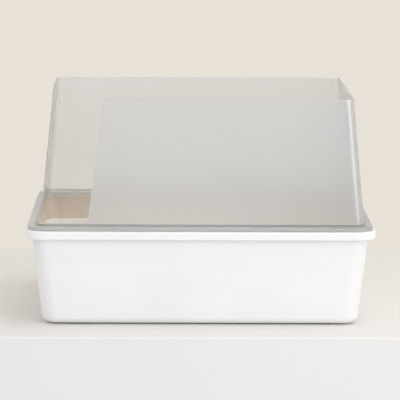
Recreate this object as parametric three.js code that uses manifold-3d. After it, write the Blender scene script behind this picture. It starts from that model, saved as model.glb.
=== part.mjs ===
// Cat litter box with a high, open-topped hood.
//
// A deep tray with a flat rim and a turned-down skirt stands on four low
// non-slip pads. A thin-walled hood sits on the rim: it has a back wall, a
// right wall, a front wall and the rear part of a left wall, no roof, and one
// corner cut away down to a low sill, where the cat walks in. The foot of the
// hood turns out into a ledge and a short skirt that drops over a bead on the
// rim, so the hood lifts straight off.
//
// Millimetres, +Z up, +X to the right, front towards -Y. The origin is on the
// ground under the middle of the tray.

import * as THREE from 'three';
import { mergeVertices } from 'three/addons/utils/BufferGeometryUtils.js';
import Module from 'manifold-3d';

const wasm = await Module();
wasm.setup();

// ---------------------------------------------------------------- dimensions

// rim and overall plan
const RIM_X = 560;             // width over the rim
const RIM_Y = 420;             // depth over the rim
const RIM_R = 33;              // plan radius of the rim's corners
const RIM_TOP = 155.3;         // height of the rim's top face
const RIM_DROP = 13;           // height of the turned-down skirt
const RIM_SKIN = 2.8;          // thickness of the rim and its skirt

// tray body
const PAD_DROP = 2.2;          // clearance under the tray, made by the pads
const TRAY_WALL = 3;           // wall and floor thickness
const TRAY_IN = 11.4;          // body's outer face, in from the rim's edge
const TRAY_DRAFT = 0.1083;     // taper, mm in per mm down
const TRAY_R = 26;             // plan radius of the body's corners
const TRAY_FILLET = 12;        // radius between the walls and the floor

// bead that locates the hood on the rim
const BEAD_IN = 8;             // outer face, in from the rim's edge
const BEAD_W = 3;
const BEAD_H = 2.2;

// hood
const WALL = 2.4;              // wall thickness
const FOOT_IN = 4.6;           // skirt's outer face, in from the rim's edge
const LEDGE_UP = 6.6;          // ledge's top face, above the rim
const SEAT_GAP = 0.3;          // clearance between the skirt and the rim
const BASE_UP = 7.1;           // where the wall's foot is measured
const BASE_X = 522.2;          // width over the walls at their foot
const BASE_Y = 382.2;          // depth over the walls at their foot
const TOP_X = 487.2;           // width over the walls at the top
const TOP_Y = 345.4;           // depth over the walls at the top
const HOOD_UP = 207.9;         // top edge, above the rim
const HOOD_R = 14;             // plan radius of the walls' corners

// way in
const SILL_UP = 12;            // sill, above the rim
const FRONT_CUT_LOW = -179.5;  // X of the front wall's cut edge at the sill
const FRONT_CUT_HIGH = -155.6; // X of the front wall's cut edge at the top
const LEFT_CUT_LOW = -28.2;    // Y of the left wall's cut edge at the sill
const LEFT_CUT_HIGH = 50.2;    // Y of the left wall's cut edge at the top
const SILL_R = 13;             // radius where a cut edge meets the sill
const CREST_R = 12;            // radius where a cut edge meets the top

// non-slip pads
const PAD_D = 24;              // diameter
const PAD_X = 205;             // pad centre from the middle, across
const PAD_Y = 135;             // pad centre from the middle, front to back
const PAD_SUNK = 1.3;          // depth of the pad's seat in the tray's floor
const PAD_GAP = 0.3;           // clearance round the pad in its seat

const CORNER_STEPS = 8;        // segments in each plan corner

// ------------------------------------------------------------------ geometry

// One closed loop of points: a rectangle 2hx by 2hy with corners of radius r.
function ringPoints({ hx, hy, r, z }) {
  const points = [];
  const corners = [[1, 1, 0], [-1, 1, 90], [-1, -1, 180], [1, -1, 270]];
  for (const [sx, sy, start] of corners) {
    for (let i = 0; i <= CORNER_STEPS; i += 1) {
      const a = THREE.MathUtils.degToRad(start + (90 * i) / CORNER_STEPS);
      points.push([
        sx * (hx - r) + r * Math.cos(a),
        sy * (hy - r) + r * Math.sin(a),
        z,
      ]);
    }
  }
  return points;
}

// A solid skinned over a list of rings. An open list is closed with a flat
// face at each end, and a looped list joins its last ring to its first.
function skin(rings, looped) {
  const loops = rings.map(ringPoints);
  const n = loops[0].length;
  const position = loops.flat(2);
  const index = [];
  const spans = looped ? loops.length : loops.length - 1;
  for (let k = 0; k < spans; k += 1) {
    const a = k * n;
    const b = ((k + 1) % loops.length) * n;
    for (let i = 0; i < n; i += 1) {
      const j = (i + 1) % n;
      index.push(a + i, a + j, b + j, a + i, b + j, b + i);
    }
  }
  if (!looped) {
    const last = (loops.length - 1) * n;
    for (let i = 1; i < n - 1; i += 1) {
      index.push(0, i + 1, i);
      index.push(last, last + i, last + i + 1);
    }
  }
  const geometry = new THREE.BufferGeometry();
  geometry.setAttribute('position', new THREE.Float32BufferAttribute(position, 3));
  geometry.setIndex(index);
  return geometry;
}

function toSolid(geometry) {
  const plain = geometry.clone();
  plain.deleteAttribute('normal');
  plain.deleteAttribute('uv');
  const merged = mergeVertices(plain, 1e-4);
  return new wasm.Manifold(new wasm.Mesh({
    numProp: 3,
    vertProperties: new Float32Array(merged.attributes.position.array),
    triVerts: new Uint32Array(merged.index.array),
  }));
}

function toGeometry(solid) {
  const mesh = solid.getMesh();
  const geometry = new THREE.BufferGeometry();
  geometry.setAttribute('position', new THREE.Float32BufferAttribute(mesh.vertProperties, 3));
  geometry.setIndex(Array.from(mesh.triVerts));
  geometry.computeVertexNormals();
  return geometry;
}

// A closed outline of [x, y, radius] corners as a shape with rounded corners.
function roundedShape(corners, steps = 6) {
  const points = [];
  corners.forEach(([x, y, r], k) => {
    const p = new THREE.Vector2(x, y);
    if (!r) { points.push(p); return; }
    const before = corners[(k + corners.length - 1) % corners.length];
    const after = corners[(k + 1) % corners.length];
    const u = new THREE.Vector2(before[0], before[1]).sub(p).normalize();
    const v = new THREE.Vector2(after[0], after[1]).sub(p).normalize();
    const half = Math.acos(THREE.MathUtils.clamp(u.dot(v), -1, 1)) / 2;
    const middle = u.clone().add(v).normalize().multiplyScalar(r / Math.sin(half)).add(p);
    const from = p.clone().addScaledVector(u, r / Math.tan(half)).sub(middle);
    const to = p.clone().addScaledVector(v, r / Math.tan(half)).sub(middle);
    const a0 = Math.atan2(from.y, from.x);
    let sweep = Math.atan2(to.y, to.x) - a0;
    if (sweep > Math.PI) sweep -= 2 * Math.PI;
    if (sweep < -Math.PI) sweep += 2 * Math.PI;
    for (let i = 0; i <= steps; i += 1) {
      const a = a0 + (sweep * i) / steps;
      points.push(new THREE.Vector2(middle.x + r * Math.cos(a), middle.y + r * Math.sin(a)));
    }
  });
  return new THREE.Shape(points);
}

// Quarter-turn of points [in, up] from angle a0 to a1 (degrees).
function arc(cx, cz, r, a0, a1, steps) {
  const points = [];
  for (let i = 0; i <= steps; i += 1) {
    const a = THREE.MathUtils.degToRad(a0 + ((a1 - a0) * i) / steps);
    points.push([cx + r * Math.cos(a), cz + r * Math.sin(a)]);
  }
  return points;
}

// ---------------------------------------------------------------------- tray

const DRAFT_DEG = THREE.MathUtils.radToDeg(Math.atan(TRAY_DRAFT));

// The body's outer face, as a distance in from the rim's edge.
function bodyIn(z) {
  return TRAY_IN + TRAY_DRAFT * (RIM_TOP - RIM_DROP - z);
}

// A ring of the tray, "inset" in from the rim's edge, with its corner radius.
function trayRing(inset, z, r) {
  return { hx: RIM_X / 2 - inset, hy: RIM_Y / 2 - inset, r, z };
}

function makeTray() {
  const bottom = PAD_DROP;
  const rings = [];

  // underside and the round between it and the outer walls
  const outZ = bottom + TRAY_FILLET;
  const outC = bodyIn(outZ) + TRAY_FILLET / Math.cos(Math.atan(TRAY_DRAFT));
  for (const [x, z] of arc(outC, outZ, TRAY_FILLET, 270, 180 + DRAFT_DEG, 6)) {
    rings.push(trayRing(x, z, TRAY_R - (x - bodyIn(z))));
  }
  // outer wall up to the underside of the rim
  const roof = RIM_TOP - RIM_SKIN;
  rings.push(trayRing(bodyIn(roof), roof, TRAY_R));
  // inside and foot of the turned-down skirt
  rings.push(trayRing(RIM_SKIN, roof, RIM_R - RIM_SKIN));
  rings.push(trayRing(RIM_SKIN, RIM_TOP - RIM_DROP, RIM_R - RIM_SKIN));
  rings.push(trayRing(0.7, RIM_TOP - RIM_DROP, RIM_R - 0.7));
  rings.push(trayRing(0, RIM_TOP - RIM_DROP + 0.7, RIM_R));
  // outer face of the skirt and the round onto the rim
  for (const [x, z] of arc(2.6, RIM_TOP - 2.6, 2.6, 180, 90, 4)) {
    rings.push(trayRing(x, z, RIM_R - x));
  }
  // bead
  rings.push(trayRing(BEAD_IN, RIM_TOP, RIM_R - BEAD_IN));
  rings.push(trayRing(BEAD_IN + 0.4, RIM_TOP + BEAD_H, RIM_R - BEAD_IN - 0.4));
  rings.push(trayRing(BEAD_IN + BEAD_W - 0.4, RIM_TOP + BEAD_H, RIM_R - BEAD_IN - BEAD_W + 0.4));
  rings.push(trayRing(BEAD_IN + BEAD_W, RIM_TOP, RIM_R - BEAD_IN - BEAD_W));
  // inner edge of the rim, inner wall, inner round and floor
  const edge = bodyIn(RIM_TOP) + TRAY_WALL;
  rings.push(trayRing(edge - 0.8, RIM_TOP, TRAY_R - TRAY_WALL + 0.6));
  rings.push(trayRing(edge + 0.1, RIM_TOP - 0.8, TRAY_R - TRAY_WALL));
  const inR = TRAY_FILLET - TRAY_WALL;
  const inZ = bottom + TRAY_WALL + inR;
  const inC = bodyIn(inZ) + TRAY_WALL + inR / Math.cos(Math.atan(TRAY_DRAFT));
  for (const [x, z] of arc(inC, inZ, inR, 180 + DRAFT_DEG, 270, 6)) {
    rings.push(trayRing(x, z, TRAY_R - TRAY_WALL - (x - bodyIn(z) - TRAY_WALL)));
  }

  let tray = toSolid(skin(rings, false));

  // seats for the pads
  for (const [x, y] of PADS.map((pad) => pad.at)) {
    const seat = new THREE.CylinderGeometry(
      PAD_D / 2 + PAD_GAP, PAD_D / 2 + PAD_GAP, PAD_SUNK + 4, 36,
    );
    seat.rotateX(Math.PI / 2);
    seat.translate(x, y, bottom + PAD_SUNK - (PAD_SUNK + 4) / 2);
    tray = tray.subtract(toSolid(seat));
  }
  return toGeometry(tray);
}

// ---------------------------------------------------------------------- hood

// A ring of the hood's foot, "inset" in from the rim's edge.
function footRing(inset, up) {
  return {
    hx: RIM_X / 2 - inset, hy: RIM_Y / 2 - inset, r: RIM_R - inset, z: RIM_TOP + up,
  };
}

// A ring of the hood's walls, "inset" in from their outer face.
function wallRing(up, inset) {
  const t = (up - BASE_UP) / (HOOD_UP - BASE_UP);
  return {
    hx: THREE.MathUtils.lerp(BASE_X, TOP_X, t) / 2 - inset,
    hy: THREE.MathUtils.lerp(BASE_Y, TOP_Y, t) / 2 - inset,
    r: HOOD_R - inset,
    z: RIM_TOP + up,
  };
}

function makeHood() {
  const rings = [
    // outer face of the skirt, rounded onto the ledge
    footRing(FOOT_IN, SEAT_GAP),
    footRing(FOOT_IN, LEDGE_UP - 1.6),
    footRing(FOOT_IN + 0.5, LEDGE_UP - 0.5),
    footRing(FOOT_IN + 1.6, LEDGE_UP),
    // ledge, then the round into the wall
    wallRing(LEDGE_UP, -2),
    wallRing(LEDGE_UP + 0.6, -0.6),
    wallRing(LEDGE_UP + 2, 0),
    // outer face, top edge and inner face of the walls
    wallRing(HOOD_UP - 0.4, 0),
    wallRing(HOOD_UP, 0.4),
    wallRing(HOOD_UP, WALL - 0.4),
    wallRing(HOOD_UP - 0.4, WALL),
    wallRing(LEDGE_UP - WALL, WALL),
    // underside of the ledge and inner face of the skirt
    footRing(FOOT_IN + WALL, LEDGE_UP - WALL),
    footRing(FOOT_IN + WALL, SEAT_GAP),
  ];
  const shell = toSolid(skin(rings, true));

  const z0 = RIM_TOP + SILL_UP;
  const z1 = RIM_TOP + HOOD_UP + 0.15;

  // cut through the front wall, drawn across (x, z)
  const front = new THREE.ExtrudeGeometry(roundedShape([
    [-400, z0, 0],
    [FRONT_CUT_LOW, z0, SILL_R],
    [FRONT_CUT_HIGH, z1, CREST_R],
    [-90, z1 + 0.1, 0],
    [-90, z1 + 60, 0],
    [-400, z1 + 60, 0],
  ]), { depth: 260, bevelEnabled: false, curveSegments: 1 });
  front.rotateX(Math.PI / 2);
  front.translate(0, -140, 0);

  // cut through the left wall, drawn across (y, z)
  const left = new THREE.ExtrudeGeometry(roundedShape([
    [-400, z0 + 0.01, 0],
    [LEFT_CUT_LOW, z0 + 0.01, SILL_R],
    [LEFT_CUT_HIGH, z1, CREST_R],
    [120, z1 + 0.1, 0],
    [120, z1 + 61, 0],
    [-400, z1 + 61, 0],
  ]), { depth: 180, bevelEnabled: false, curveSegments: 1 });
  // shape (x, y, depth z) to world (depth x, y, z)
  left.applyMatrix4(new THREE.Matrix4().makeBasis(
    new THREE.Vector3(0, 1, 0), new THREE.Vector3(0, 0, 1), new THREE.Vector3(1, 0, 0),
  ));
  left.translate(-370, 0, 0);

  return toGeometry(shell.subtract(toSolid(front)).subtract(toSolid(left)));
}

// ---------------------------------------------------------------------- pads

const PADS = [
  { name: 'foot_front_left', at: [-PAD_X, -PAD_Y] },
  { name: 'foot_front_right', at: [PAD_X, -PAD_Y] },
  { name: 'foot_back_left', at: [-PAD_X, PAD_Y] },
  { name: 'foot_back_right', at: [PAD_X, PAD_Y] },
];

// A low round pad with a softened lower edge.
function makePad() {
  const r = PAD_D / 2;
  const top = PAD_DROP + PAD_SUNK - PAD_GAP;
  const profile = [
    [0, 0], [r - 1, 0], [r - 0.3, 0.3], [r, 1], [r, top], [0, top],
  ].map(([x, z]) => new THREE.Vector2(x, z));
  const pad = new THREE.LatheGeometry(profile, 36);
  pad.rotateX(Math.PI / 2);
  return toGeometry(toSolid(pad));
}

// ------------------------------------------------------------------ assembly

const trayPlastic = { color: 0xf1f1f0, roughness: 0.42, metalness: 0 };
const hoodPlastic = { color: 0xb9b8b6, roughness: 0.35, metalness: 0, transparent: true, opacity: 0.5 };
const padRubber = { color: 0x8d8d8c, roughness: 0.8, metalness: 0 };

function piece(name, geometry, look) {
  const mesh = new THREE.Mesh(geometry, new THREE.MeshStandardMaterial(look));
  mesh.name = name;
  return mesh;
}

const group = new THREE.Group();
group.name = 'cat_litter_box_with_hood';

const base = new THREE.Group();
base.name = 'base';
base.add(piece('tray', makeTray(), trayPlastic));
for (const { name, at } of PADS) {
  const pad = piece(name, makePad(), padRubber);
  pad.position.set(at[0], at[1], 0);
  base.add(pad);
}
group.add(base);
group.add(piece('hood', makeHood(), hoodPlastic));

export default group;
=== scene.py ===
"""Looks for the cat litter box with hood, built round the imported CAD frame."""
import math

import bmesh
import bpy
from mathutils import Matrix, Vector


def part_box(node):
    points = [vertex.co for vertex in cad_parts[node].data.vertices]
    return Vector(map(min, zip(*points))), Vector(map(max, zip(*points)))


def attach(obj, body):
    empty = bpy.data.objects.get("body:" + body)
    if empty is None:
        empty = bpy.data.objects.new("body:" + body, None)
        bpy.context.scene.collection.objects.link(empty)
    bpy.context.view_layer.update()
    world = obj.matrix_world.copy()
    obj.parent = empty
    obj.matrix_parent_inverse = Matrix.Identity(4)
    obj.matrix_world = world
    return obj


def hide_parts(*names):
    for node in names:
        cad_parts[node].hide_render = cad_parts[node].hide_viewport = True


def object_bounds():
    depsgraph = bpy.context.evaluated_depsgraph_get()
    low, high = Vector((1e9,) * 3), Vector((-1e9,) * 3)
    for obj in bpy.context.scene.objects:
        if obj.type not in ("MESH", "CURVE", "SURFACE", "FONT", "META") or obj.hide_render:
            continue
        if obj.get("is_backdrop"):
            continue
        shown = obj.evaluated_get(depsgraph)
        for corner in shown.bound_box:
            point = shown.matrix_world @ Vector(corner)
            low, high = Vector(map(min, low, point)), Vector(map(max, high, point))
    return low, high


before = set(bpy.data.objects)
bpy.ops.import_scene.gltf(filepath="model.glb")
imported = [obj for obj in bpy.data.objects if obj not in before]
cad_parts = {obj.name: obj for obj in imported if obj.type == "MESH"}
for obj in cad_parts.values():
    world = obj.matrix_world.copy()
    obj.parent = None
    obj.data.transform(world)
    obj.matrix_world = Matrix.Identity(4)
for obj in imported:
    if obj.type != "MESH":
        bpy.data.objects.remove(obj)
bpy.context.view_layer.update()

MM = 0.001
sc = bpy.context.scene
sc.view_settings.view_transform = "Standard"
sc.view_settings.look = "None"
sc.view_settings.exposure = 0.0
sc.view_settings.gamma = 1.0
# light crosses the frosted walls many times before it comes out
sc.cycles.max_bounces = 24
sc.cycles.diffuse_bounces = 10
sc.cycles.glossy_bounces = 12
sc.cycles.transmission_bounces = 24

# ------------------------------------------------------------------ sizes (mm)
# What the CAD boxes give is read from them. The rest repeats the driving sizes
# of the CAD model, because its source isn't read here.
tray_lo, tray_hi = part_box("tray")
hood_lo, hood_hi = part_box("hood")
pad_lo, pad_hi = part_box("foot_front_left")

BEAD_H = 2.2
RIM_HX = tray_hi.x / MM
RIM_HY = tray_hi.y / MM
RIM_R = 33.0
RIM_TOP = tray_hi.z / MM - BEAD_H
RIM_DROP = 13.0
RIM_SKIN = 2.8
BOTTOM = tray_lo.z / MM
TRAY_WALL = 3.0
TRAY_IN = 11.4
TRAY_DRAFT = 0.1083
TRAY_R = 26.0
TRAY_FILLET = 12.0
BEAD_IN = 8.0
BEAD_W = 3.0

WALL = 2.4
FOOT_IN = RIM_HX - hood_hi.x / MM
LEDGE_UP = 6.6
SEAT_GAP = hood_lo.z / MM - RIM_TOP
BASE_UP = 7.1
BASE_HX, BASE_HY = 261.1, 191.1
TOP_HX, TOP_HY = 243.6, 172.7
HOOD_UP = hood_hi.z / MM - RIM_TOP
HOOD_R = 14.0
SILL_UP = 12.0
FRONT_LOW, FRONT_HIGH = -179.5, -155.6
LEFT_LOW, LEFT_HIGH = -28.2, 50.2
SILL_R, CREST_R = 13.0, 12.0
EDGE = 0.7                    # rounding of the hood's cut edges

PAD_R = (pad_hi.x - pad_lo.x) / 2 / MM
PAD_TOP = pad_hi.z / MM


# ------------------------------------------------------------------ mesh tools
def new_object(name, quads, merge=2e-7, fans=()):
    """One closed mesh from faces given as lists of points in mm."""
    bm = bmesh.new()
    for face in quads:
        vs = [bm.verts.new((p[0] * MM, p[1] * MM, p[2] * MM)) for p in face]
        bm.faces.new(vs)
    bmesh.ops.remove_doubles(bm, verts=bm.verts, dist=merge)
    dead = [f for f in bm.faces if f.calc_area() < 1e-14]
    if dead:
        bmesh.ops.delete(bm, geom=dead, context="FACES_ONLY")
    bmesh.ops.recalc_face_normals(bm, faces=bm.faces)
    for f in bm.faces:
        f.smooth = True
    mesh = bpy.data.meshes.new(name)
    bm.to_mesh(mesh)
    open_edges = sum(1 for e in bm.edges if len(e.link_faces) != 2)
    print(f"{name}: {len(bm.faces)} faces, {open_edges} open edges, volume {bm.calc_volume() * 1e6:.1f} cm3")
    bm.free()
    ob = bpy.data.objects.new(name, mesh)
    sc.collection.objects.link(ob)
    w = ob.modifiers.new("normals", "WEIGHTED_NORMAL")
    w.mode = "FACE_AREA"
    w.weight = 100
    w.keep_sharp = True
    return ob


def spaced(a, b, near=(1.2, 4.0), parts=6):
    """Positions from a to b, with extra ones close to both ends."""
    span = b - a
    size = abs(span)
    ts = {0.0, 1.0}
    for d in near:
        if d * 3 < size:
            ts |= {d / size, 1 - d / size}
    ts |= {i / parts for i in range(1, parts)}
    return [a + span * t for t in sorted(ts)]


ARC = 16


def ring(hx, hy, r, z, near=(1.2, 4.0)):
    """A closed rounded rectangle of points, from the right side round to the front."""
    cx, cy = hx - r, hy - r
    pts = []
    for sx, sy, start in ((1, 1, 0), (-1, 1, 90), (-1, -1, 180), (1, -1, 270)):
        for i in range(ARC + 1):
            a = math.radians(start + 90 * i / ARC)
            pts.append((sx * cx + r * math.cos(a), sy * cy + r * math.sin(a), z))
        # straight run to the next corner
        if start == 0:
            pts += [(x, hy, z) for x in spaced(cx, -cx, near)[1:-1]]
        elif start == 90:
            pts += [(-hx, y, z) for y in spaced(cy, -cy, near)[1:-1]]
        elif start == 180:
            pts += [(x, -hy, z) for x in spaced(-cx, cx, near)[1:-1]]
        else:
            pts += [(hx, y, z) for y in spaced(-cy, cy, near)[1:-1]]
    return pts


def between(rings):
    quads = []
    for a, b in zip(rings, rings[1:]):
        n = len(a)
        for i in range(n):
            j = (i + 1) % n
            quads.append([a[i], a[j], b[j], b[i]])
    return quads


def arc(cx, cz, r, a0, a1, steps):
    return [
        (cx + r * math.cos(math.radians(a0 + (a1 - a0) * i / steps)),
         cz + r * math.sin(math.radians(a0 + (a1 - a0) * i / steps)))
        for i in range(steps + 1)
    ]


# ------------------------------------------------------------------------ tray
DRAFT = math.atan(TRAY_DRAFT)
DRAFT_DEG = math.degrees(DRAFT)


def body_in(z):
    """The body's outer face, in from the rim's edge, at height z."""
    return TRAY_IN + TRAY_DRAFT * (RIM_TOP - RIM_DROP - z)


def make_tray():
    rows = []  # (inset, z, corner radius)
    # underside and the round into the outer wall
    oz = BOTTOM + TRAY_FILLET
    oc = body_in(oz) + TRAY_FILLET / math.cos(DRAFT)
    first = arc(oc, oz, TRAY_FILLET, 270, 180 + DRAFT_DEG, 14)
    rows.append((first[0][0] + 3.0, BOTTOM, TRAY_R - (first[0][0] + 3.0 - body_in(BOTTOM))))
    for x, z in first:
        rows.append((x, z, TRAY_R - (x - body_in(z))))
    # outer wall
    roof = RIM_TOP - RIM_SKIN
    for z in (oz + 0.5, oz + 3, 40, 80, 115, roof - 4, roof - 1.6):
        rows.append((body_in(z), z, TRAY_R))
    # small round into the underside of the rim
    for x, z in arc(body_in(roof) - 1.2, roof - 1.2, 1.2, 0, 90, 4)[1:]:
        rows.append((x, z, TRAY_R + (body_in(roof) - x)))
    # inside of the skirt and its rounded foot
    for x, z in arc(RIM_SKIN + 1.0, roof - 1.0, 1.0, 90, 180, 4):
        rows.append((x, z, RIM_R - x))
    foot = RIM_TOP - RIM_DROP
    for x, z in arc(RIM_SKIN - 1.1, foot + 1.1, 1.1, 0, -90, 5):
        rows.append((x, z, RIM_R - x))
    for x, z in arc(1.1, foot + 1.1, 1.1, 270, 180, 5):
        rows.append((x, z, RIM_R - x))
    rows.append((0, foot + 2.2, RIM_R))
    rows.append((0, RIM_TOP - 4.2, RIM_R))
    # round onto the rim's top face
    for x, z in arc(3.0, RIM_TOP - 3.0, 3.0, 180, 90, 9):
        rows.append((x, z, RIM_R - x))
    rows.append((3.6, RIM_TOP, RIM_R - 3.6))
    # bead
    for dx, dz in ((-0.8, 0), (-0.3, 0.1), (0.0, 0.4), (0.25, BEAD_H - 0.8), (0.5, BEAD_H - 0.3), (1.0, BEAD_H),
                   (BEAD_W - 1.0, BEAD_H), (BEAD_W - 0.5, BEAD_H - 0.3), (BEAD_W - 0.25, BEAD_H - 0.8),
                   (BEAD_W, 0.4), (BEAD_W + 0.3, 0.1), (BEAD_W + 0.8, 0)):
        x = BEAD_IN + dx
        rows.append((x, RIM_TOP + dz, RIM_R - x))
    # inner edge of the rim
    edge = body_in(RIM_TOP) + TRAY_WALL
    inner_r = TRAY_R - TRAY_WALL
    for x, z in arc(edge - 1.3, RIM_TOP - 1.4, 1.4, 90, DRAFT_DEG, 6):
        rows.append((x, z, inner_r + (edge - x) * 0.75))
    # inner wall
    iz_r = TRAY_FILLET - TRAY_WALL
    iz = BOTTOM + TRAY_WALL + iz_r
    ic = body_in(iz) + TRAY_WALL + iz_r / math.cos(DRAFT)
    for z in (RIM_TOP - 3, RIM_TOP - 8, 120, 80, 40, iz + 3, iz + 0.5):
        rows.append((body_in(z) + TRAY_WALL, z, inner_r))
    last = arc(ic, iz, iz_r, 180 + DRAFT_DEG, 270, 12)
    for x, z in last:
        rows.append((x, z, inner_r - (x - body_in(z) - TRAY_WALL)))
    rows.append((last[-1][0] + 3.0, last[-1][1], inner_r - (last[-1][0] + 3.0 - body_in(last[-1][1]) - TRAY_WALL)))
    rings = [ring(RIM_HX - x, RIM_HY - x, r, z) for x, z, r in rows]
    quads = between(rings)
    quads.append(list(rings[0]))
    quads.append(list(rings[-1]))
    return new_object("litter_tray", quads)


# ------------------------------------------------------------------------ hood
def wall_half(up):
    t = (up - BASE_UP) / (HOOD_UP - BASE_UP)
    return BASE_HX + (TOP_HX - BASE_HX) * t, BASE_HY + (TOP_HY - BASE_HY) * t


class Cut:
    """The edge of the wall beside the way in, from the sill up to the top. Positions are along the wall and up."""

    def __init__(self, low, high, steps_fillet=12, steps_line=10, steps_crest=12):
        self.low, self.high = low, high
        d = Vector((high - low, HOOD_UP - SILL_UP))
        self.d = d.normalized()                       # up the edge
        self.n = Vector((self.d.y, -self.d.x))        # into the wall
        self.steps = (steps_fillet, steps_line, steps_crest)
        self.count = sum(self.steps) + 1
        # centre of the round at the sill: R above the sill, R out from the edge
        slope = d.x / d.y
        self.cf = Vector((low + slope * SILL_R - SILL_R * math.hypot(1, slope), SILL_UP + SILL_R))
        self.cc = Vector((high - slope * CREST_R + CREST_R * math.hypot(1, slope), HOOD_UP - CREST_R))
        self.lean = math.atan2(d.x, d.y)

    def at(self, i, q):
        """Point i of the edge, q mm into the wall."""
        nf, nl, nc = self.steps
        if i <= nf:
            a0, a1 = -math.pi / 2, -self.lean
            a = a0 + (a1 - a0) * i / nf
            return self.cf + Vector((math.cos(a), math.sin(a))) * (SILL_R + q)
        if i >= nf + nl:
            a0, a1 = math.pi - self.lean, math.pi / 2
            a = a0 + (a1 - a0) * (i - nf - nl) / nc
            return self.cc + Vector((math.cos(a), math.sin(a))) * (CREST_R - q)
        p0, p1 = self.at(nf, q), self.at(nf + nl, q)
        t = (i - nf) / nl
        t = t * t * (3 - 2 * t) * 0.5 + t * 0.5
        return p0.lerp(p1, t)


FRONT = Cut(FRONT_LOW, FRONT_HIGH)
LEFT = Cut(LEFT_LOW, LEFT_HIGH)
FRONT_START = FRONT.at(0, 0).x
LEFT_START = LEFT.at(0, 0).x


def run(a, b, parts=8, near=(0.8, 3.0)):
    """Shares from 0 to 1 for a straight stretch of about b - a mm."""
    return [(x - a) / (b - a) for x in spaced(a, b, near, parts)]


S_FRONT = run(FRONT_START, 247)
S_SIDE = run(-177, 177)
S_BACK = run(-247, 247)
S_LEFT = run(-45, 177)
S_SILL_F = run(-247, FRONT_START, 3)
S_SILL_L = run(-177, LEFT_START, 4)


def upper_row(f, l, n):
    """Points round the wall from the front cut edge to the left one. f and l are the edge points, n the depth in from the outer face."""
    pts = []

    def corner(up):
        hx, hy = wall_half(up)
        return hx - HOOD_R, hy - HOOD_R, hx - n, hy - n, HOOD_R - n

    cx, cy, hx, hy, r = corner(f.y)
    z = RIM_TOP + f.y
    for s in S_FRONT:
        pts.append((f.x + (cx - f.x) * s, -hy, z))
    for i in range(1, ARC):
        a = math.radians(-90 + 90 * i / ARC)
        pts.append((cx + r * math.cos(a), -cy + r * math.sin(a), z))
    for s in S_SIDE:
        pts.append((hx, -cy + 2 * cy * s, z))
    for i in range(1, ARC):
        a = math.radians(90 * i / ARC)
        pts.append((cx + r * math.cos(a), cy + r * math.sin(a), z))
    for s in S_BACK:
        up = f.y + (l.y - f.y) * s
        bx, by, gx, gy, _ = corner(up)
        pts.append((bx - 2 * bx * s, gy, RIM_TOP + up))
    cx, cy, hx, hy, r = corner(l.y)
    z = RIM_TOP + l.y
    for i in range(1, ARC):
        a = math.radians(90 + 90 * i / ARC)
        pts.append((-cx + r * math.cos(a), cy + r * math.sin(a), z))
    for s in S_LEFT:
        pts.append((-hx, cy + (l.x - cy) * (s), z))
    return pts


def lower_ring(hx, hy, r, z):
    """A closed ring whose points continue those of upper_row at the sill."""
    cx, cy = hx - r, hy - r
    pts = [(FRONT_START + (cx - FRONT_START) * s, -hy, z) for s in S_FRONT]
    pts += [(cx + r * math.cos(a), -cy + r * math.sin(a), z) for a in (math.radians(-90 + 90 * i / ARC) for i in range(1, ARC))]
    pts += [(hx, -cy + 2 * cy * s, z) for s in S_SIDE]
    pts += [(cx + r * math.cos(a), cy + r * math.sin(a), z) for a in (math.radians(90 * i / ARC) for i in range(1, ARC))]
    pts += [(cx - 2 * cx * s, hy, z) for s in S_BACK]
    pts += [(-cx + r * math.cos(a), cy + r * math.sin(a), z) for a in (math.radians(90 + 90 * i / ARC) for i in range(1, ARC))]
    pts += [(-hx, cy + (LEFT_START - cy) * s, z) for s in S_LEFT]
    n_open = len(pts)
    pts += [(-hx, LEFT_START + (-cy - LEFT_START) * s, z) for s in [1 - s for s in reversed(S_SILL_L)][1:]]
    pts += [(-cx + r * math.cos(a), -cy + r * math.sin(a), z) for a in (math.radians(180 + 90 * i / ARC) for i in range(1, ARC + 1))]
    pts += [(-cx + (FRONT_START + cx) * s, -hy, z) for s in S_SILL_F[1:-1]]
    return pts, n_open


def wall_lower(up, n):
    hx, hy = wall_half(up)
    return lower_ring(hx - n, hy - n, HOOD_R - n, RIM_TOP + up)


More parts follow.
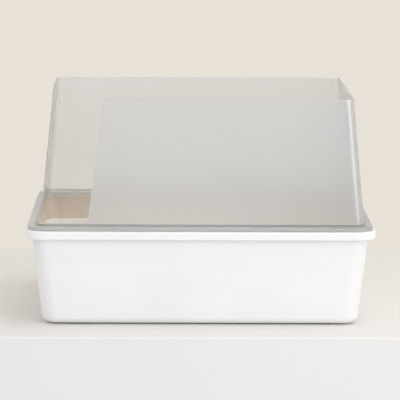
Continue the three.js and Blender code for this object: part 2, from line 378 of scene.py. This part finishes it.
def make_hood():
    quads = []

    def strip(a, b):
        for i in range(len(a) - 1):
            quads.append([a[i], a[i + 1], b[i + 1], b[i]])

    n_rows = FRONT.count
    # profile across the cut edges: q into the wall, n in from the outer face
    steps = 5
    profile = []
    for i in range(steps + 1):
        a = math.pi / 2 * i / steps
        profile.append((EDGE * (1 - math.sin(a)), EDGE * (1 - math.cos(a))))
    profile.append((0, WALL / 2))
    for i in range(steps + 1):
        a = math.pi / 2 * i / steps
        profile.append((EDGE * (1 - math.cos(a)), WALL - EDGE * (1 - math.sin(a))))

    # the walls above the sill, outside and inside
    for n in (0.0, WALL):
        rows = [upper_row(FRONT.at(i, EDGE), LEFT.at(i, EDGE), n) for i in range(n_rows)]
        for a, b in zip(rows, rows[1:]):
            strip(a, b)

    # rounded edges: the two cut edges, the top and the sill
    def edge_path(q, n):
        path = []
        full, n_open = wall_lower(SILL_UP - q, n)
        sill = full[n_open - 1:] + [full[0]]          # from the left edge round to the front edge
        for i in range(1, n_rows - 1):                # up the front edge
            p = FRONT.at(i, q)
            hx, hy = wall_half(p.y)
            path.append((p.x, -(hy - n), RIM_TOP + p.y))
        path += upper_row(FRONT.at(n_rows - 1, q), LEFT.at(n_rows - 1, q), n)
        for i in range(n_rows - 2, 0, -1):            # down the left edge
            p = LEFT.at(i, q)
            hx, hy = wall_half(p.y)
            path.append((-(hx - n), p.x, RIM_TOP + p.y))
        path += sill
        path.append(path[0])
        return path

    paths = [edge_path(q, n) for q, n in profile]
    for a, b in zip(paths, paths[1:]):
        strip(a, b)

    # the foot, from the outer wall at the sill round to the inner wall
    foot = []
    for up in (SILL_UP - EDGE, LEDGE_UP + 4.2, LEDGE_UP + 3.4):
        foot.append(wall_lower(up, 0)[0])
    rf = 2.6                                          # round between wall and ledge
    for i in range(0, 11):
        a = math.pi / 2 * i / 10
        up = LEDGE_UP + rf * (1 - math.sin(a))
        hx, hy = wall_half(max(up, LEDGE_UP))
        e = rf * (1 - math.cos(a))
        foot.append(lower_ring(hx + e, hy + e, HOOD_R + e, RIM_TOP + up)[0])
    re = 1.7                                          # round over the ledge's outer edge
    foot.append(lower_ring(RIM_HX - FOOT_IN - re - 1.5, RIM_HY - FOOT_IN - re - 1.5,
                           RIM_R - FOOT_IN - re - 1.5, RIM_TOP + LEDGE_UP)[0])
    for x, z in arc(FOOT_IN + re, LEDGE_UP - re, re, 90, 180, 7):
        foot.append(lower_ring(RIM_HX - x, RIM_HY - x, RIM_R - x, RIM_TOP + z)[0])
    rb = 0.7                                          # rounded foot of the skirt
    foot.append(lower_ring(RIM_HX - FOOT_IN, RIM_HY - FOOT_IN, RIM_R - FOOT_IN, RIM_TOP + SEAT_GAP + 1.4)[0])
    for x, z in arc(FOOT_IN + rb, SEAT_GAP + rb, rb, 180, 270, 4):
        foot.append(lower_ring(RIM_HX - x, RIM_HY - x, RIM_R - x, RIM_TOP + z)[0])
    for x, z in arc(FOOT_IN + WALL - rb, SEAT_GAP + rb, rb, 270, 360, 4):
        foot.append(lower_ring(RIM_HX - x, RIM_HY - x, RIM_R - x, RIM_TOP + z)[0])
    under = LEDGE_UP - WALL
    for x, z in arc(FOOT_IN + WALL + 0.8, under - 0.8, 0.8, 180, 90, 4):
        foot.append(lower_ring(RIM_HX - x, RIM_HY - x, RIM_R - x, RIM_TOP + z)[0])
    # underside of the ledge, round up into the inner wall
    ru = 1.4
    hx, hy = wall_half(under)
    foot.append(lower_ring(hx + 1.5, hy + 1.5, HOOD_R + 1.5, RIM_TOP + under)[0])
    for i in range(0, 7):
        a = math.pi / 2 * i / 6
        up = under + ru * (1 - math.cos(a))
        gx, gy = wall_half(up)
        e = -WALL + ru * (1 - math.sin(a))
        foot.append(lower_ring(gx + e, gy + e, HOOD_R + e, RIM_TOP + up)[0])
    foot.append(wall_lower(LEDGE_UP + 0.5, WALL)[0])
    foot.append(wall_lower(SILL_UP - EDGE, WALL)[0])
    quads.extend(between(foot))
    return new_object("hood_shield", quads, merge=1e-6)


# ------------------------------------------------------------------------ pads
def make_pad(name, cx, cy):
    """A round non-slip pad with two grip grooves moulded into its underside."""
    r = PAD_R
    rows = [(0.6, 0.35), (3.2, 0.35), (3.6, 0.0), (6.4, 0.0), (6.8, 0.45), (7.6, 0.45), (8.0, 0.0),
            (r - 1.1, 0.0), (r - 0.75, 0.06), (r - 0.3, 0.3), (r - 0.06, 0.7), (r, 1.1),
            (r, PAD_TOP - 0.5), (r - 0.15, PAD_TOP - 0.15), (r - 0.5, PAD_TOP), (0.6, PAD_TOP)]
    n = 64
    rings = [[(cx + q * math.cos(2 * math.pi * i / n), cy + q * math.sin(2 * math.pi * i / n), z) for i in range(n)]
             for q, z in rows]
    quads = between(rings)
    quads.append(list(rings[0]))
    quads.append(list(rings[-1]))
    return new_object(name, quads)


tray = make_tray()
hood = make_hood()
pads = {}
for node in ("foot_front_left", "foot_front_right", "foot_back_left", "foot_back_right"):
    lo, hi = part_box(node)
    pads[node] = make_pad(node.replace("foot", "pad"), (lo.x + hi.x) / 2 / MM, (lo.y + hi.y) / 2 / MM)


# ------------------------------------------------------------------- materials
def srgb(r, g, b):
    def f(c):
        c /= 255
        return c / 12.92 if c <= 0.04045 else ((c + 0.055) / 1.055) ** 2.4
    return (f(r), f(g), f(b), 1.0)


class Nodes:
    def __init__(self, name):
        self.mat = bpy.data.materials.new(name)
        self.mat.use_nodes = True
        self.t = self.mat.node_tree
        self.t.nodes.clear()
        self.out = self.t.nodes.new("ShaderNodeOutputMaterial")
        self.coord = self.t.nodes.new("ShaderNodeTexCoord")

    def add(self, kind, **values):
        n = self.t.nodes.new(kind)
        for k, v in values.items():
            if k in n.inputs:
                n.inputs[k].default_value = v
            else:
                setattr(n, k, v)
        return n

    def link(self, a, b):
        self.t.links.new(a, b)

    def noise(self, scale, detail=3.0, roughness=0.5, vector=None, stretch=None):
        n = self.add("ShaderNodeTexNoise", noise_dimensions="3D")
        n.inputs["Scale"].default_value = scale
        n.inputs["Detail"].default_value = detail
        n.inputs["Roughness"].default_value = roughness
        source = vector or self.coord.outputs["Object"]
        if stretch:
            m = self.add("ShaderNodeMapping")
            m.inputs["Scale"].default_value = stretch
            self.link(source, m.inputs["Vector"])
            source = m.outputs["Vector"]
        self.link(source, n.inputs["Vector"])
        return n.outputs["Fac"]

    def ramp(self, fac, stops):
        r = self.add("ShaderNodeValToRGB")
        r.color_ramp.elements[0].position = stops[0][0]
        r.color_ramp.elements[0].color = stops[0][1]
        r.color_ramp.elements[1].position = stops[-1][0]
        r.color_ramp.elements[1].color = stops[-1][1]
        for p, c in stops[1:-1]:
            e = r.color_ramp.elements.new(p)
            e.color = c
        self.link(fac, r.inputs["Fac"])
        return r.outputs["Color"]

    def map(self, value, a0, a1, b0, b1):
        m = self.add("ShaderNodeMapRange")
        for k, v in (("From Min", a0), ("From Max", a1), ("To Min", b0), ("To Max", b1)):
            m.inputs[k].default_value = v
        self.link(value, m.inputs["Value"])
        return m.outputs["Result"]

    def math(self, op, a, b=None):
        m = self.add("ShaderNodeMath", operation=op)
        for k, v in ((0, a), (1, b)):
            if v is None:
                continue
            if isinstance(v, (int, float)):
                m.inputs[k].default_value = v
            else:
                self.link(v, m.inputs[k])
        return m.outputs["Value"]

    def bump(self, height, distance, strength=1.0, normal=None):
        b = self.add("ShaderNodeBump")
        b.inputs["Strength"].default_value = strength
        b.inputs["Distance"].default_value = distance
        self.link(height, b.inputs["Height"])
        if normal is not None:
            self.link(normal, b.inputs["Normal"])
        return b.outputs["Normal"]


# tan painted shade with warm bounce light on the tray's inner walls and floor
WELL_SHADE_DARK = (0.67, 0.58, 0.485, 1)
WELL_SHADE_LIGHT = (0.71, 0.62, 0.53, 1)


def in_shaded_well(p, n):
    """True for a point of the tray's surface that is on the inside of its walls or floor, which gets the well's
    painted shade.
    """
    if n.z < 0 or (n.z < 0.5 and n.x * p.x + n.y * p.y > 0):
        return False
    x, y, z = abs(p.x) / MM, abs(p.y) / MM, p.z / MM
    if z < BOTTOM + TRAY_WALL / 2 or z > RIM_TOP - 0.6:
        return False
    inset = body_in(z) + TRAY_WALL / 2
    r = TRAY_R - TRAY_WALL / 2
    qx, qy = x - (RIM_HX - inset - r), y - (RIM_HY - inset - r)
    return math.hypot(max(qx, 0), max(qy, 0)) + min(max(qx, qy), 0) < r


def tray_material(name, paint_well_shade=False):
    m = Nodes(name)
    p = m.add("ShaderNodeBsdfPrincipled")
    p.inputs["IOR"].default_value = 1.49
    p.inputs["Specular IOR Level"].default_value = 0.5
    # very slight cloudiness of the moulded plastic
    cloud = m.noise(9.0, 4.0, 0.55)
    flow = m.noise(26.0, 3.0, 0.5, stretch=(0.35, 0.35, 1.6))
    mix = m.math("ADD", m.math("MULTIPLY", cloud, 0.6), m.math("MULTIPLY", flow, 0.4))
    col = m.ramp(mix, [(0.32, (0.825, 0.825, 0.822, 1)), (0.5, (0.85, 0.85, 0.846, 1)), (0.68, (0.862, 0.861, 0.856, 1))])
    if paint_well_shade:
        # painted shade in the well: white at the rim's edge, a tan painted shade with warm bounce light below it,
        # and a lighter band of painted light lower down
        z = m.add("ShaderNodeSeparateXYZ")
        m.link(m.coord.outputs["Object"], z.inputs[0])
        depth = m.math("ADD", m.map(z.outputs["Z"], (RIM_TOP + 6.0) * MM, (RIM_TOP - 6.0) * MM, 0.0, 1.0),
                       m.map(m.noise(14.0, 4.0, 0.55), 0.3, 0.7, -0.04, 0.04))
        # upper: the tan painted shade; lower: the lighter painted light below about 113 mm
        upper = m.ramp(mix, [(0.32, WELL_SHADE_DARK), (0.68, WELL_SHADE_LIGHT)])
        lower = m.ramp(mix, [(0.32, (0.93, 0.89, 0.84, 1)), (0.68, (0.95, 0.912, 0.865, 1))])
        down = m.add("ShaderNodeMix", data_type="RGBA")
        m.link(m.map(z.outputs["Z"], 114.6 * MM, 112.6 * MM, 0.0, 1.0), down.inputs[0])
        two = [i for i in down.inputs if i.type == "RGBA"]
        m.link(upper, two[0])
        m.link(lower, two[1])
        tan = [o for o in down.outputs if o.type == "RGBA"][0]
        both = m.add("ShaderNodeMix", data_type="RGBA")
        m.link(depth, both.inputs[0])
        rgba = [i for i in both.inputs if i.type == "RGBA"]
        m.link(col, rgba[0])
        m.link(tan, rgba[1])
        col = [o for o in both.outputs if o.type == "RGBA"][0]
    m.link(col, p.inputs["Base Color"])
    # satin grain with softer and glossier areas
    rough = m.map(m.noise(60.0, 4.0, 0.6), 0.3, 0.7, 0.42, 0.54)
    m.link(rough, p.inputs["Roughness"])
    grain = m.noise(2600.0, 2.0, 0.5)
    swell = m.noise(34.0, 2.0, 0.4)
    n1 = m.bump(swell, 0.00012, 0.35)
    n2 = m.bump(grain, 0.00003, 0.35, n1)
    m.link(n2, p.inputs["Normal"])
    m.link(p.outputs["BSDF"], m.out.inputs["Surface"])
    return m.mat


def hood_material():
    m = Nodes("hood_smoky_frosted")
    p = m.add("ShaderNodeBsdfPrincipled")
    p.inputs["IOR"].default_value = 1.46
    p.inputs["Transmission Weight"].default_value = 0.95
    p.inputs["Specular IOR Level"].default_value = 0.5
    p.inputs["Coat Weight"].default_value = 1.0
    p.inputs["Coat Roughness"].default_value = 0.33
    p.inputs["Coat IOR"].default_value = 1.65
    cloud = m.noise(7.0, 3.0, 0.5)
    fine = m.noise(90.0, 3.0, 0.55)
    mix = m.math("ADD", m.math("MULTIPLY", cloud, 0.7), m.math("MULTIPLY", fine, 0.3))
    col = m.ramp(mix, [(0.3, (0.892, 0.911, 0.925, 1)), (0.5, (0.902, 0.921, 0.935, 1)), (0.7, (0.912, 0.931, 0.945, 1))])
    # painted shade and dark reflection: a dark line on the outside where the wall meets the ledge, and a little
    # darker below the ledge
    z = m.add("ShaderNodeSeparateXYZ")
    m.link(m.coord.outputs["Object"], z.inputs[0])
    foot_z = (RIM_TOP + LEDGE_UP) * MM
    side = m.add("ShaderNodeVectorMath", operation="ABSOLUTE")
    m.link(m.coord.outputs["Object"], side.inputs[0])
    past = m.add("ShaderNodeVectorMath", operation="SUBTRACT")
    m.link(side.outputs["Vector"], past.inputs[0])
    past.inputs[1].default_value = ((BASE_HX - HOOD_R) * MM, (BASE_HY - HOOD_R) * MM, 10.0)
    clear = m.add("ShaderNodeVectorMath", operation="MAXIMUM")
    m.link(past.outputs["Vector"], clear.inputs[0])
    clear.inputs[1].default_value = (0.0, 0.0, 0.0)
    away = m.add("ShaderNodeVectorMath", operation="LENGTH")
    m.link(clear.outputs["Vector"], away.inputs[0])
    reach = away.outputs["Value"]
    foot_shade = m.math("MULTIPLY",
                   m.map(z.outputs["Z"], foot_z - 0.4 * MM, foot_z - 0.1 * MM, 0.0, 1.0),
                   m.map(z.outputs["Z"], foot_z + 2.0 * MM, foot_z + 3.4 * MM, 1.0, 0.0))
    outside = m.math("MULTIPLY",
                     m.map(reach, (HOOD_R - 1.4) * MM, (HOOD_R - 1.0) * MM, 0.0, 1.0),
                     m.map(reach, (HOOD_R + 2.6) * MM, (HOOD_R + 5.0) * MM, 1.0, 0.0))
    foot_shade = m.math("MULTIPLY", foot_shade, outside)
    foot_shade = m.math("ADD", foot_shade, m.map(z.outputs["Z"], foot_z - 0.4 * MM, foot_z - 1.4 * MM, 0.0, 0.12))
    both = m.add("ShaderNodeMix", data_type="RGBA")
    m.link(foot_shade, both.inputs[0])
    rgba = [i for i in both.inputs if i.type == "RGBA"]
    m.link(col, rgba[0])
    # dark colour of the painted shade at the hood's foot
    rgba[1].default_value = (0.24, 0.25, 0.285, 1)
    m.link([o for o in both.outputs if o.type == "RGBA"][0], p.inputs["Base Color"])
    rough = m.map(m.noise(40.0, 4.0, 0.55), 0.3, 0.7, 0.36, 0.44)
    m.link(rough, p.inputs["Roughness"])
    grain = m.noise(1500.0, 2.0, 0.5)
    swell = m.noise(18.0, 2.0, 0.4)
    n1 = m.bump(swell, 0.0001, 0.2)
    n2 = m.bump(grain, 0.00001, 0.3, n1)
    m.link(n2, p.inputs["Normal"])
    m.link(p.outputs["BSDF"], m.out.inputs["Surface"])
    return m.mat


def pad_material():
    m = Nodes("pad_grey_rubber")
    p = m.add("ShaderNodeBsdfPrincipled")
    p.inputs["IOR"].default_value = 1.5
    p.inputs["Specular IOR Level"].default_value = 0.35
    col = m.ramp(m.noise(220.0, 4.0, 0.6), [(0.3, (0.20, 0.20, 0.198, 1)), (0.7, (0.27, 0.27, 0.266, 1))])
    m.link(col, p.inputs["Base Color"])
    m.link(m.map(m.noise(500.0, 3.0, 0.6), 0.3, 0.7, 0.7, 0.9), p.inputs["Roughness"])
    m.link(m.bump(m.noise(2400.0, 3.0, 0.6), 0.00006, 0.6), p.inputs["Normal"])
    m.link(p.outputs["BSDF"], m.out.inputs["Surface"])
    return m.mat


tray.data.materials.append(tray_material("tray_satin_white"))
# second material: the white plastic with the well's painted shade and painted light band
tray.data.materials.append(tray_material("tray_well_painted_shade", paint_well_shade=True))
for face in tray.data.polygons:
    face.material_index = 1 if in_shaded_well(face.center, face.normal) else 0
hood.data.materials.append(hood_material())
pad_mat = pad_material()
for pad in pads.values():
    pad.data.materials.append(pad_mat)

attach(tray, "tray")
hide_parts("tray")
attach(hood, "hood")
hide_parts("hood")
for node, pad in pads.items():
    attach(pad, "tray")
    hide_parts(node)


# ----------------------------------------------------------------------- stage
def stage_material():
    m = Nodes("stage_pale")
    p = m.add("ShaderNodeBsdfPrincipled")
    p.inputs["Specular IOR Level"].default_value = 0.25
    col = m.ramp(m.noise(3.0, 3.0, 0.5), [(0.3, (0.775, 0.757, 0.74, 1)), (0.7, (0.795, 0.777, 0.76, 1))])
    m.link(col, p.inputs["Base Color"])
    m.link(m.map(m.noise(30.0, 3.0, 0.5), 0.3, 0.7, 0.55, 0.7), p.inputs["Roughness"])
    m.link(p.outputs["BSDF"], m.out.inputs["Surface"])
    return m.mat


def slab(name, x0, x1, y0, y1, z0, z1, r=0.003, steps=5):
    """A pale slab with a softened front edge, whose top face is at z1."""
    section = [(y1, z0), (y0, z0)]
    for i in range(steps + 1):
        a = math.pi - math.pi / 2 * i / steps
        section.append((y0 + r + r * math.cos(a), z1 - r + r * math.sin(a)))
    section.append((y1, z1))
    bm = bmesh.new()
    left = [bm.verts.new((x0, y, z)) for y, z in section]
    right = [bm.verts.new((x1, y, z)) for y, z in section]
    n = len(section)
    for i in range(n):
        j = (i + 1) % n
        bm.faces.new([left[i], left[j], right[j], right[i]])
    bm.faces.new(list(reversed(left)))
    bm.faces.new(right)
    bmesh.ops.recalc_face_normals(bm, faces=bm.faces)
    mesh = bpy.data.meshes.new(name)
    bm.to_mesh(mesh)
    bm.free()
    ob = bpy.data.objects.new(name, mesh)
    sc.collection.objects.link(ob)
    return ob


floor = slab("stage_floor", -5.0, 5.0, -0.278, 0.543, -0.5, 0.0)
floor.data.materials.append(stage_material())
floor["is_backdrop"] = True

# ------------------------------------------------------------ light and camera
ROOM_FRONT = (0.85, 0.862, 0.875, 1)
# The room: a pale warm wall behind the box, plain white light from in front.
world = bpy.data.worlds.new("studio")
sc.world = world
world.use_nodes = True
wt = world.node_tree
bg = wt.nodes["Background"]
where_to = wt.nodes.new("ShaderNodeTexCoord")
split = wt.nodes.new("ShaderNodeSeparateXYZ")
share = wt.nodes.new("ShaderNodeMapRange")
share.interpolation_type = "SMOOTHSTEP"
share.inputs["From Min"].default_value = -0.5
share.inputs["From Max"].default_value = 0.2
tone = wt.nodes.new("ShaderNodeMix")
tone.data_type = "RGBA"
for sock in tone.inputs:
    if sock.name == "A" and sock.type == "RGBA":
        sock.default_value = ROOM_FRONT
    if sock.name == "B" and sock.type == "RGBA":
        sock.default_value = srgb(232, 225, 216)
wt.links.new(where_to.outputs["Generated"], split.inputs[0])
wt.links.new(split.outputs["Y"], share.inputs["Value"])
wt.links.new(share.outputs["Result"], tone.inputs[0])
wt.links.new([o for o in tone.outputs if o.type == "RGBA"][0], bg.inputs["Color"])
bg.inputs["Strength"].default_value = 1.0


def area(name, where, target, size, power, colour=(1, 1, 1), size_y=None):
    light = bpy.data.lights.new(name, "AREA")
    light.shape = "RECTANGLE"
    light.size = size
    light.size_y = size_y or size
    light.energy = power
    light.color = colour
    ob = bpy.data.objects.new(name, light)
    ob.location = where
    ob.rotation_euler = (Vector(target) - Vector(where)).to_track_quat("-Z", "Y").to_euler()
    sc.collection.objects.link(ob)
    return ob


area("key", (1.85, -2.05, 0.85), (0, 0, 0.2), 0.45, 20, (1.0, 0.995, 0.985), 1.4)
area("fill", (-2.6, -2.9, 1.6), (0, 0, 0.1), 2.4, 9, (1.0, 1.0, 1.0))
area("top", (1.1, -0.2, 3.0), (0, 0, 0.1), 2.4, 23, (1.0, 1.0, 1.0))

cam_data = bpy.data.cameras.new("camera")
cam = bpy.data.objects.new("camera", cam_data)
sc.collection.objects.link(cam)
yaw, pitch, roll = 0.0145, 0.1502, 0.0053
fw = Vector((math.sin(yaw) * math.cos(pitch), math.cos(yaw) * math.cos(pitch), -math.sin(pitch)))
rt = Vector((math.cos(yaw), -math.sin(yaw), 0))
up = rt.cross(fw)
r2 = rt * math.cos(roll) + up * math.sin(roll)
u2 = -rt * math.sin(roll) + up * math.cos(roll)
back = -fw
cam.matrix_world = Matrix((
    (r2.x, u2.x, back.x, -0.0573),
    (r2.y, u2.y, back.y, -4.0473),
    (r2.z, u2.z, back.z, 0.7879),
    (0, 0, 0, 1),
))
cam_data.sensor_width = 36.0
cam_data.lens = 36.0 * 2458.27 / 400
cam_data.clip_start, cam_data.clip_end = 0.1, 100
sc.camera = cam

bpy.context.view_layer.update()
lo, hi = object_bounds()
